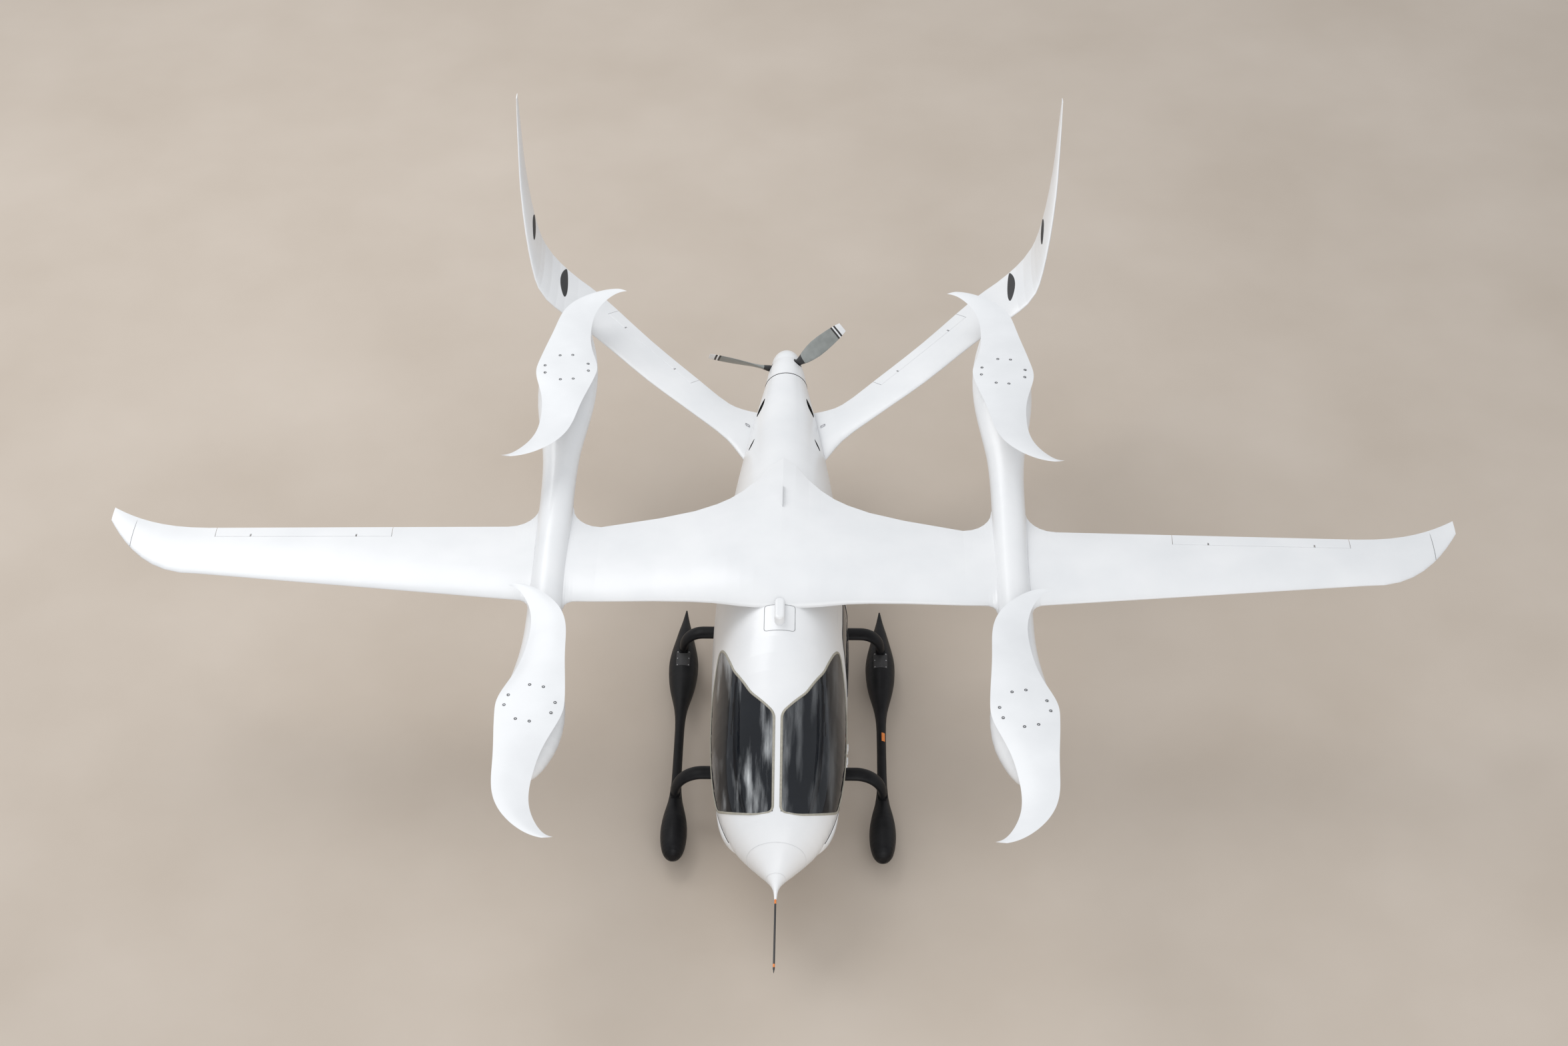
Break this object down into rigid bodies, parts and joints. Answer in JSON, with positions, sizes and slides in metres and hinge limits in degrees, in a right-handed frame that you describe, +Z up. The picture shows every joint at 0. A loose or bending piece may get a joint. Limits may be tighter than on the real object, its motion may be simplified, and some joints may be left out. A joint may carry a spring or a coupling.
{
  "type": "electric air taxi",
  "caption": "Winged electric air taxi with lift rotors on twin booms, a pusher propeller, swept tail with upturned fins, glazed cabin and wheeled skid gear.",
  "frame": {"origin": "centre of the bounding box's base, on the ground between the skids", "axes": "+X to the aircraft's left along the span, -Y towards the nose, +Z up"},
  "size_m": [15.24, 11.34, 4.3455],
  "materials": {
    "white_skin": "gloss",
    "black_composite": "satin",
    "dark_glass": "polished",
    "rotor_white": "satin",
    "metal": "satin",
    "steel": "satin",
    "tyre": "matte",
    "prop": "satin",
    "interior": "matte",
    "seat": "matte",
    "battery": "satin"
  },
  "bodies": {
    "airframe": {"nose_cone": "white_skin", "nose_cowl": "white_skin", "fuselage_belly": "white_skin", "cabin_roof": "white_skin", "cabin_side_left": "white_skin", "cabin_side_right": "white_skin", "tail_cone": "white_skin", "wing_centre": "white_skin", "antennas": "white_skin", "wing_outer_left": "white_skin", "wing_outer_right": "white_skin", "boom_left": "white_skin", "boom_right": "white_skin", "tail_panel_left": "white_skin", "tail_panel_right": "white_skin", "windscreen_left": "dark_glass", "windscreen_right": "dark_glass", "skid_left": "black_composite", "gear_struts_left": "black_composite", "axles_left": "steel", "skid_right": "black_composite", "gear_struts_right": "black_composite", "axles_right": "steel", "air_data_probe": "black_composite", "cabin_floor": "interior", "instrument_panel": "interior", "rear_bulkhead": "interior", "crew_seats": "seat", "passenger_bench": "seat", "battery_pack": "battery"},
    "door": {"cabin_door": "white_skin", "door_window": "dark_glass"},
    "pusher": {"prop_blades": "prop", "prop_spinner": "white_skin"},
    "aileron_left": {"aileron_left": "white_skin"},
    "ruddervator_left": {"ruddervator_left": "white_skin"},
    "rotor_front_left": {"rotor_front_left": "rotor_white", "hub_front_left": "metal"},
    "wheel_front_left": {"rim_front_left": "metal", "tyre_front_left": "tyre"},
    "rotor_rear_left": {"rotor_rear_left": "rotor_white", "hub_rear_left": "metal"},
    "wheel_rear_left": {"rim_rear_left": "metal", "tyre_rear_left": "tyre"},
    "aileron_right": {"aileron_right": "white_skin"},
    "ruddervator_right": {"ruddervator_right": "white_skin"},
    "rotor_front_right": {"rotor_front_right": "rotor_white", "hub_front_right": "metal"},
    "wheel_front_right": {"rim_front_right": "metal", "tyre_front_right": "tyre"},
    "rotor_rear_right": {"rotor_rear_right": "rotor_white", "hub_rear_right": "metal"},
    "wheel_rear_right": {"rim_rear_right": "metal", "tyre_rear_right": "tyre"}
  },
  "joints": [
    {"name": "door_hinge", "type": "hinge", "parent": "airframe", "child": "door", "pos_m": [0.764, -2.652, 1.1175], "axis": [0, 0, -1], "range_deg": [0, 75]},
    {"name": "pusher_spin", "type": "hinge", "parent": "airframe", "child": "pusher", "pos_m": [0, 3.35, 1.75], "axis": [0, 1, 0], "continuous": true},
    {"name": "aileron_left_hinge", "type": "hinge", "parent": "airframe", "child": "aileron_left", "pos_m": [4.42, -0.628, 2.487], "axis": [0.9992, -0.0333, 0.0227], "range_deg": [-20, 20]},
    {"name": "ruddervator_left_hinge", "type": "hinge", "parent": "airframe", "child": "ruddervator_left", "pos_m": [1.18, 2.78, 1.995], "axis": [0.7241, 0.6523, 0.224], "range_deg": [-20, 20]},
    {"name": "rotor_front_left_spin", "type": "hinge", "parent": "airframe", "child": "rotor_front_left", "pos_m": [2.59, -3.49, 2.75], "axis": [0, 0, 1], "continuous": true},
    {"name": "rotor_rear_left_spin", "type": "hinge", "parent": "airframe", "child": "rotor_rear_left", "pos_m": [2.59, 1.81, 2.998], "axis": [0, 0.0872, 0.9962], "continuous": true},
    {"name": "wheel_front_left_roll", "type": "hinge", "parent": "airframe", "child": "wheel_front_left", "pos_m": [1.17, -3.08, 0.18], "axis": [1, 0, 0], "continuous": true},
    {"name": "wheel_rear_left_roll", "type": "hinge", "parent": "airframe", "child": "wheel_rear_left", "pos_m": [1.17, -0.48, 0.2], "axis": [1, 0, 0], "continuous": true},
    {"name": "aileron_right_hinge", "type": "hinge", "parent": "airframe", "child": "aileron_right", "pos_m": [-4.42, -0.628, 2.487], "axis": [0.9992, 0.0333, -0.0227], "range_deg": [-20, 20]},
    {"name": "ruddervator_right_hinge", "type": "hinge", "parent": "airframe", "child": "ruddervator_right", "pos_m": [-1.18, 2.78, 1.995], "axis": [0.7241, -0.6523, -0.224], "range_deg": [-20, 20]},
    {"name": "rotor_front_right_spin", "type": "hinge", "parent": "airframe", "child": "rotor_front_right", "pos_m": [-2.59, -3.49, 2.75], "axis": [0, 0, 1], "continuous": true},
    {"name": "rotor_rear_right_spin", "type": "hinge", "parent": "airframe", "child": "rotor_rear_right", "pos_m": [-2.59, 1.81, 2.998], "axis": [0, 0.0872, 0.9962], "continuous": true},
    {"name": "wheel_front_right_roll", "type": "hinge", "parent": "airframe", "child": "wheel_front_right", "pos_m": [-1.17, -3.08, 0.18], "axis": [1, 0, 0], "continuous": true},
    {"name": "wheel_rear_right_roll", "type": "hinge", "parent": "airframe", "child": "wheel_rear_right", "pos_m": [-1.17, -0.48, 0.2], "axis": [1, 0, 0], "continuous": true}
  ]
}
